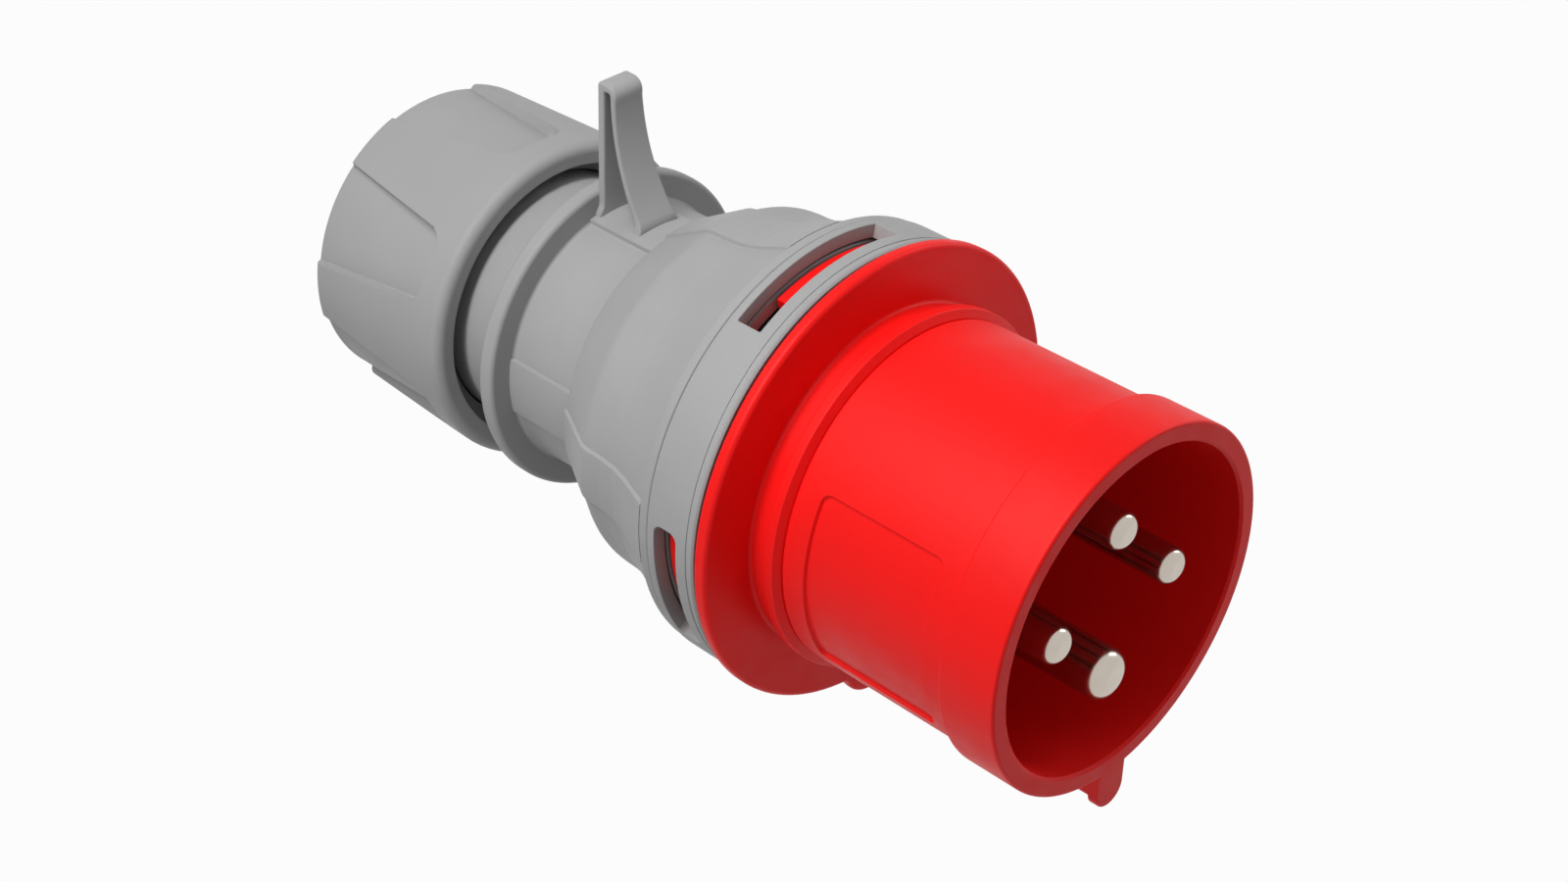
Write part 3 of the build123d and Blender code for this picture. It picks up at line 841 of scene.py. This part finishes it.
def arc_height(first, middle, last, radius):
    """Height at a radius on the hollow arc through three (radius, height) points."""
    a, b, c = Vector(first), Vector(middle), Vector(last)
    d = 2 * (a.x * (b.y - c.y) + b.x * (c.y - a.y) + c.x * (a.y - b.y))
    squares = [spot.length_squared for spot in (a, b, c)]
    centre = Vector((
        (squares[0] * (b.y - c.y) + squares[1] * (c.y - a.y) + squares[2] * (a.y - b.y)) / d,
        (squares[0] * (c.x - b.x) + squares[1] * (a.x - c.x) + squares[2] * (b.x - a.x)) / d,
    ))
    reach = (a - centre).length
    return centre.y - math.sqrt(reach**2 - (radius - centre.x) ** 2)


# Steps along each leg of the hook, and the turns of its rounded corners
LEG_STEPS = 24
ARC_TURNS = [22.5 * step for step in range(5)]


def arch(tip, back, top, waist, foot, foot_radius, rear_round, front_round):
    """One side of the hook: up the straight back, round the tip and down the hollow front to the neck."""
    rise = tip - rear_round - hook_root
    spots = [(hook_root + rise * step / LEG_STEPS, back) for step in range(LEG_STEPS)]
    for swing in map(math.radians, ARC_TURNS):
        spots.append((tip - rear_round * (1 - math.sin(swing)), back + rear_round * (1 - math.cos(swing))))
    centre = Vector((tip - front_round, back + top - front_round))
    for swing in map(math.radians, ARC_TURNS):
        spots.append((centre.x + front_round * math.cos(swing), centre.y + front_round * math.sin(swing)))
    marks = ((tip, back + top), (hook_waist_radius, back + waist), (foot_radius, back + foot))
    for step in range(1, LEG_STEPS + 1):
        radius = centre.x + (foot_radius - centre.x) * step / LEG_STEPS
        spots.append((radius, arc_height(*marks, radius)))
    spots.append((hook_root, back + foot))
    return [Vector(spot) for spot in spots]


def hook_half(radius):
    """Half the hook's width, which grows to the foot and flares softly onto the neck."""
    share = (hook_tip - radius) / (hook_tip - hook_root)
    above = max(0.0, radius - neck_radius - pad_height)
    flare = hook_flare * max(0.0, 1 - above / hook_flare_height) ** 2
    return hook_half_width + share * (hook_foot_half_width - hook_half_width) + flare


def hook_section(far, near):
    """Corners of the rounded section of a leg, as vectors in the part's frame."""
    depth = (far - near).length
    along = (far - near) / depth
    edge = min(hook_edge, depth * hook_edge_share)
    section = []
    for level, side, begin in ((depth - edge, 1, 0), (edge, 1, 90), (edge, -1, 180), (depth - edge, -1, 270)):
        for turn in ARC_TURNS:
            swing = math.radians(begin + turn)
            spot = near + along * (level + edge * math.cos(swing))
            across = side * (hook_half(spot.x) - edge) + edge * math.sin(swing)
            section.append(Vector((spot.x, across, spot.y)))
    return section


def hook():
    """Retaining hook: an arch of rounded section from the guard disc over the slot down to the neck."""
    outer = arch(hook_tip, hook_rear, **hook_line)
    inner = arch(hook_tip - tip_thickness, hook_rear + rear_leg, **slot_line)
    bm = bmesh.new()
    sections = []
    for far, near in zip(outer, inner):
        sections.append([bm.verts.new(spot * MM) for spot in hook_section(far, near)])
    for ring, beyond in zip(sections, sections[1:]):
        for index in range(len(ring)):
            after = (index + 1) % len(ring)
            bm.faces.new((ring[index], ring[after], beyond[after], beyond[index]))
    bm.faces.new(sections[0])
    bm.faces.new(sections[-1])
    return build_mesh("hook", bm)


def housing():
    edges = []
    for centre, half in pad_half_angles.items():
        edges += [(centre + sign * reach, bar_soft) for reach in (half, bar_half_angle) for sign in (-1, 1)]
    edges += [(angle, stop_soft) for angle in stop_span]
    piece = turned("rear_housing", housing_outline(), round_angles(COLUMN_STEP, edges), housing_shape)
    return combine(piece, hook(), "UNION")


# Gland nut


def grip_half_width(height):
    return grip_rear_half + (grip_front_half - grip_rear_half) * height / grip_front


# Column that follows a panel's side, in degrees from the panel's middle, the fine columns before it, the
# columns on the land beside it with their step, and the step of the even ones
GRIP_EDGE_COLUMN = 17.0
GRIP_FINE_COLUMNS = range(24, 52)
GRIP_LAND_COLUMNS = 6
GRIP_LAND_STEP = 0.3
NUT_COLUMN_STEP = 3.0

# Rows along the panels and, closer, across their front ends
NUT_FIRST_ROW = 1.5
NUT_ROWS = 17
GRIP_END_START = grip_front - 3.4
GRIP_END_STEP = 0.1
GRIP_END_ROWS = 40


def nut_shape(angle, radius, height):
    """Sinks the six grip panels and slants the columns so that they follow the panels' sides."""
    centre = sector * round(angle / sector)
    off = offset_angle(angle, centre)
    half = math.degrees(math.asin(grip_half_width(min(max(height, 0), grip_front)) / nut_front_radius))
    if abs(off) <= GRIP_EDGE_COLUMN:
        slanted = off * half / GRIP_EDGE_COLUMN
    else:
        share = (abs(off) - GRIP_EDGE_COLUMN) / (sector / 2 - GRIP_EDGE_COLUMN)
        slanted = math.copysign(half + share * (sector / 2 - half), off)
    if radius < grip_floor_radius:
        return centre + slanted, radius
    across = (half - abs(slanted)) * math.radians(1) * radius
    along = grip_front - height
    if across < grip_corner and along < grip_corner:
        inside = grip_corner - math.hypot(grip_corner - across, grip_corner - along)
    else:
        inside = min(across, along)
    inset = max(0.0, radius - grip_floor_radius) * smooth(inside / grip_soft + 0.5)
    return centre + slanted, radius - inset


def gland_nut():
    mouth_floor = nut_front - nut_mouth_depth
    corners = [
        (cable_hole_radius, 0, cable_hole_edge),
        (nut_rear_radius, 0, nut_rear_edge),
        (nut_front_radius, nut_front, nut_front_edge),
        (nut_mouth_radius, nut_front, nut_mouth_edge),
        (nut_mouth_radius, mouth_floor, 0),
        (thread_bore, mouth_floor - nut_mouth_bevel, 0),
        (thread_bore, thread_bore_rear, 0),
        (washer_recess, washer_front + washer_play, 0),
        (washer_recess, nut_wall, 0),
        (cable_hole_radius, nut_wall, cable_hole_edge),
    ]
    points = rounded(corners)
    rows = [NUT_FIRST_ROW + step for step in range(NUT_ROWS)]
    rows += [GRIP_END_START + GRIP_END_STEP * step for step in range(GRIP_END_ROWS)]
    points = with_rows(points, rows, grip_floor_radius)
    columns = []
    for number in range(round(360 / sector)):
        centre = sector * number
        for sign in (-1, 1):
            for step in GRIP_FINE_COLUMNS:
                columns.append(centre + sign * GRIP_EDGE_COLUMN * step / GRIP_FINE_COLUMNS.stop)
            for step in range(GRIP_LAND_COLUMNS):
                columns.append(centre + sign * (GRIP_EDGE_COLUMN + GRIP_LAND_STEP * step))
    return turned("gland_nut_cap", points, round_angles(NUT_COLUMN_STEP, (), columns), nut_shape)


# Contact pins


# Roundings of a pin, the turn between the points of its arcs and the step of its columns, in degrees
WIRE_BORE_EDGE = 0.1
BARREL_REAR_EDGE = 0.4
BARREL_FRONT_EDGE = 0.3
PIN_SEAT_EDGE = 0.12
PIN_FOOT = 0.1
PIN_ARC_STEP = 7
PIN_COLUMN_STEP = 5


def pin(name, angle, radius):
    barrel = earth_barrel if name == "earth" else phase_barrel
    seat = radius + pin_seat_step
    bore_floor = pin_rear + wire_bore_depth
    corners = [
        (0, bore_floor, 0),
        (wire_bore, bore_floor, WIRE_BORE_EDGE),
        (wire_bore, pin_rear, WIRE_BORE_EDGE),
        (barrel, pin_rear, BARREL_REAR_EDGE),
        (barrel, flange_rear, BARREL_FRONT_EDGE),
        (seat, flange_rear, 0),
        (seat, pin_seat_front, PIN_SEAT_EDGE),
        (radius, pin_seat_front, PIN_FOOT),
        (radius, pin_tip, radius * pin_tip_share),
        (0, pin_tip, 0),
    ]
    points = rounded(corners, closed=False, arc_step=PIN_ARC_STEP)
    columns = range(0, 360, PIN_COLUMN_STEP)
    piece = turned("contact_" + name, points, columns, closed=False)
    turn = Matrix.Rotation(math.radians(angle), 4, "Z")
    piece.data.transform(turn @ Matrix.Translation((pin_circle * MM, 0, 0)))
    return piece


# Materials


def node_material(name):
    material = bpy.data.materials.new(name)
    material.use_nodes = True
    return material, material.node_tree.nodes, material.node_tree.links


def noise(nodes, links, coordinates, size, detail):
    """Noise whose features are about size millimetres across."""
    texture = nodes.new("ShaderNodeTexNoise")
    texture.inputs["Scale"].default_value = 1 / (size * MM)
    texture.inputs["Detail"].default_value = detail
    links.new(coordinates.outputs["Object"], texture.inputs["Vector"])
    return texture.outputs["Fac"]


# Range that most of a noise factor lies in
NOISE_LOW = 0.3
NOISE_HIGH = 0.7


def spread(nodes, links, factor, low, high):
    """Turns a noise factor into a value between low and high."""
    mapped = nodes.new("ShaderNodeMapRange")
    mapped.inputs["From Min"].default_value = NOISE_LOW
    mapped.inputs["From Max"].default_value = NOISE_HIGH
    mapped.inputs["To Min"].default_value = low
    mapped.inputs["To Max"].default_value = high
    links.new(factor, mapped.inputs["Value"])
    return mapped.outputs["Result"]


def tinted(nodes, links, factor, dark, light):
    """Colour that wanders between two tones."""
    mix = nodes.new("ShaderNodeMix")
    mix.data_type = "RGBA"
    links.new(spread(nodes, links, factor, 0.0, 1.0), mix.inputs["Factor"])
    mix.inputs["A"].default_value = (*dark, 1)
    mix.inputs["B"].default_value = (*light, 1)
    return mix.outputs["Result"]


# Sizes in millimetres and detail of the noise in each finish, and how far its roughness wanders
TONE_DRIFT = (14, 3)
GLOSS_DRIFT = (3.5, 4)
GRAIN_DETAIL = 2
GLOSS_SPREAD = 0.04
PLATE_TONE = (2.5, 3)
PLATE_POLISH = (3.0, 3)
PLATE_DARKEST = 0.95
PLATE_SMOOTHER = 0.03
PLATE_ROUGHER = 0.05
MARK_SPACING = 0.9
MARK_WANDER = 0.6
MARK_STRENGTH = 0.2


def moulded(name, colour, roughness, drift=0.03, grain=0.12, relief=0.003, specular=0.2):
    """Moulded plastic: slow tone drift, fine spark-eroded grain and uneven gloss."""
    material, nodes, links = node_material(name)
    shader = nodes["Principled BSDF"]
    coordinates = nodes.new("ShaderNodeTexCoord")
    dark = [channel * (1 - drift) for channel in colour]
    light = [min(1, channel * (1 + drift)) for channel in colour]
    tone = noise(nodes, links, coordinates, *TONE_DRIFT)
    links.new(tinted(nodes, links, tone, dark, light), shader.inputs["Base Color"])
    gloss = noise(nodes, links, coordinates, *GLOSS_DRIFT)
    wander = spread(nodes, links, gloss, roughness - GLOSS_SPREAD, roughness + GLOSS_SPREAD)
    links.new(wander, shader.inputs["Roughness"])
    shader.inputs["Specular IOR Level"].default_value = specular
    bump = nodes.new("ShaderNodeBump")
    bump.inputs["Strength"].default_value = 1.0
    bump.inputs["Distance"].default_value = relief * MM
    links.new(noise(nodes, links, coordinates, grain, GRAIN_DETAIL), bump.inputs["Height"])
    links.new(bump.outputs["Normal"], shader.inputs["Normal"])
    return material


def metal(name, colour, roughness, relief=0.002):
    """Plated metal with faint turning marks and uneven polish."""
    material, nodes, links = node_material(name)
    shader = nodes["Principled BSDF"]
    shader.inputs["Metallic"].default_value = 1.0
    coordinates = nodes.new("ShaderNodeTexCoord")
    dark = [channel * PLATE_DARKEST for channel in colour]
    tone = noise(nodes, links, coordinates, *PLATE_TONE)
    links.new(tinted(nodes, links, tone, dark, colour), shader.inputs["Base Color"])
    polish = noise(nodes, links, coordinates, *PLATE_POLISH)
    wander = spread(nodes, links, polish, roughness - PLATE_SMOOTHER, roughness + PLATE_ROUGHER)
    links.new(wander, shader.inputs["Roughness"])
    marks = nodes.new("ShaderNodeTexWave")
    marks.bands_direction = "Z"
    marks.inputs["Scale"].default_value = 1 / (MARK_SPACING * MM)
    marks.inputs["Distortion"].default_value = MARK_WANDER
    links.new(coordinates.outputs["Object"], marks.inputs["Vector"])
    bump = nodes.new("ShaderNodeBump")
    bump.inputs["Strength"].default_value = MARK_STRENGTH
    bump.inputs["Distance"].default_value = relief * MM
    links.new(marks.outputs["Fac"], bump.inputs["Height"])
    links.new(bump.outputs["Normal"], shader.inputs["Normal"])
    return material


RED = (0.87, 0.006, 0.005)
GREY = (0.35, 0.35, 0.35)
CARRIER_BLACK = (0.045, 0.045, 0.05)
CAGE_WHITE = (0.7, 0.7, 0.67)
RUBBER_BLACK = (0.02, 0.02, 0.02)
NICKEL = (0.52, 0.465, 0.405)
ZINC = (0.62, 0.62, 0.62)


def make_materials():
    return {
        "red_plastic": moulded("red moulding", RED, 0.48, drift=0.02, grain=0.2, relief=0.0025),
        "grey_plastic": moulded("grey moulding", GREY, 0.52, drift=0.03, grain=0.18, relief=0.004),
        "carrier_plastic": moulded("carrier moulding", CARRIER_BLACK, 0.5),
        "cage_plastic": moulded("cage moulding", CAGE_WHITE, 0.45),
        "seal_rubber": moulded("rubber", RUBBER_BLACK, 0.7, grain=0.3, relief=0.01),
        "nickel_brass": metal("nickel plate", NICKEL, 0.2, relief=0.0002),
        "screw_steel": metal("zinc plate", ZINC, 0.3),
    }


def dress(piece, body, slot, materials, *nodes):
    """Gives a piece the material of its slot, hangs it under its body and hides the CAD nodes that it stands
    for.
    """
    piece.data.materials.clear()
    piece.data.materials.append(materials[slot])
    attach(piece, body)
    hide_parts(*nodes)


def dress_frame_nodes(materials):
    """Every CAD node that stays in sight gets its own procedural material."""
    slots = {part["node"]: part["material_slot"] for part in frame["record"]["subparts"]}
    for node, solid in frame["nodes"].items():
        solid.data.materials.clear()
        solid.data.materials.append(materials[slots[node]])


# Stage, light and camera


def path_choice(nodes, links):
    """1 for camera, glossy and transmission rays, otherwise 0."""
    path = nodes.new("ShaderNodeLightPath")
    first = nodes.new("ShaderNodeMath")
    first.operation = "MAXIMUM"
    links.new(path.outputs["Is Camera Ray"], first.inputs[0])
    links.new(path.outputs["Is Glossy Ray"], first.inputs[1])
    second = nodes.new("ShaderNodeMath")
    second.operation = "MAXIMUM"
    links.new(first.outputs["Value"], second.inputs[0])
    links.new(path.outputs["Is Transmission Ray"], second.inputs[1])
    return second.outputs["Value"]


def white_floor():
    """Pale floor that shows as white. It mostly glows where it is seen, so its shadow is very faint."""
    size = 4.0
    tone = 0.25
    glow_share = 0.97
    bm = bmesh.new()
    bmesh.ops.create_grid(bm, x_segments=1, y_segments=1, size=size / 2)
    floor = build_mesh("floor", bm)
    material, nodes, links = node_material("pale floor")
    shader = nodes["Principled BSDF"]
    shader.inputs["Base Color"].default_value = (tone, tone, tone, 1)
    shader.inputs["Roughness"].default_value = 0.9
    glow = nodes.new("ShaderNodeEmission")
    glow.inputs["Color"].default_value = (1, 1, 1, 1)
    share = nodes.new("ShaderNodeMath")
    share.operation = "MULTIPLY"
    share.inputs[1].default_value = glow_share
    links.new(path_choice(nodes, links), share.inputs[0])
    mix = nodes.new("ShaderNodeMixShader")
    links.new(share.outputs["Value"], mix.inputs["Fac"])
    links.new(shader.outputs["BSDF"], mix.inputs[1])
    links.new(glow.outputs["Emission"], mix.inputs[2])
    links.new(mix.outputs["Shader"], nodes["Material Output"].inputs["Surface"])
    floor.data.materials.append(material)


def world_light(ambient):
    """Even white light from all sides that shows at full white itself."""
    world = bpy.data.worlds.new("studio")
    bpy.context.scene.world = world
    world.use_nodes = True
    nodes, links = world.node_tree.nodes, world.node_tree.links
    background = nodes["Background"]
    background.inputs["Color"].default_value = (1, 1, 1, 1)
    strength = nodes.new("ShaderNodeMapRange")
    strength.inputs["To Min"].default_value = ambient
    strength.inputs["To Max"].default_value = 1.0
    links.new(path_choice(nodes, links), strength.inputs["Value"])
    links.new(strength.outputs["Result"], background.inputs["Strength"])


def lamp(name, azimuth, height, distance, width, depth, power):
    """Soft box that faces the plug's middle, in metres, degrees and watts, at a height above the floor."""
    target = (cad_low + cad_high) / 2
    data = bpy.data.lights.new(name, "AREA")
    data.shape = "RECTANGLE"
    data.size = width
    data.size_y = depth
    data.energy = power
    lamp_object = bpy.data.objects.new(name, data)
    bpy.context.scene.collection.objects.link(lamp_object)
    theta = math.radians(azimuth)
    lamp_object.location = (distance * math.cos(theta), distance * math.sin(theta), height)
    away = lamp_object.location - Vector((0, 0, target.z))
    lamp_object.rotation_euler = away.to_track_quat("Z", "Y").to_euler()


def studio():
    white_floor()
    world_light(ambient=0.28)
    lamp("key", azimuth=31, height=0.055, distance=0.36, width=0.3, depth=0.08, power=1.15)
    lamp("fill", azimuth=118, height=0.045, distance=0.5, width=0.4, depth=0.07, power=0.35)
    lamp("side", azimuth=-60, height=0.2, distance=0.45, width=0.25, depth=0.15, power=0.4)


def camera():
    """The photograph's camera: the plug's axis comes towards it and the hook points up in the picture."""
    data = bpy.data.cameras.new("camera")
    data.sensor_width = 36
    data.lens = 59.91
    data.clip_start = 0.01
    data.clip_end = 20
    camera_object = bpy.data.objects.new("camera", data)
    bpy.context.scene.collection.objects.link(camera_object)
    place = Vector((192.70, 206.25, 269.17)) * MM
    look = Vector((-0.56462, -0.59484, -0.57216)).normalized()
    right = Vector((0.01073, -0.69846, 0.71557))
    right = (right - look * right.dot(look)).normalized()
    up = right.cross(look)
    turn = Matrix((right, up, -look)).transposed().to_4x4()
    camera_object.matrix_world = Matrix.Translation(place) @ turn
    bpy.context.scene.camera = camera_object
    bpy.context.scene.view_settings.view_transform = "Standard"


def plug():
    materials = make_materials()
    dress_frame_nodes(materials)
    dress(front_shroud(), "plug", "red_plastic", materials, "front_shroud")
    dress(lock_ring(), "lock_ring", "grey_plastic", materials, "lock_ring")
    dress(housing(), "plug", "grey_plastic", materials, "housing")
    dress(gland_nut(), "gland_nut", "grey_plastic", materials, "gland_nut")
    for name, angle, radius in pin_places():
        dress(pin(name, angle, radius), "plug", "nickel_brass", materials, "pin_" + name)


plug()
studio()
camera()
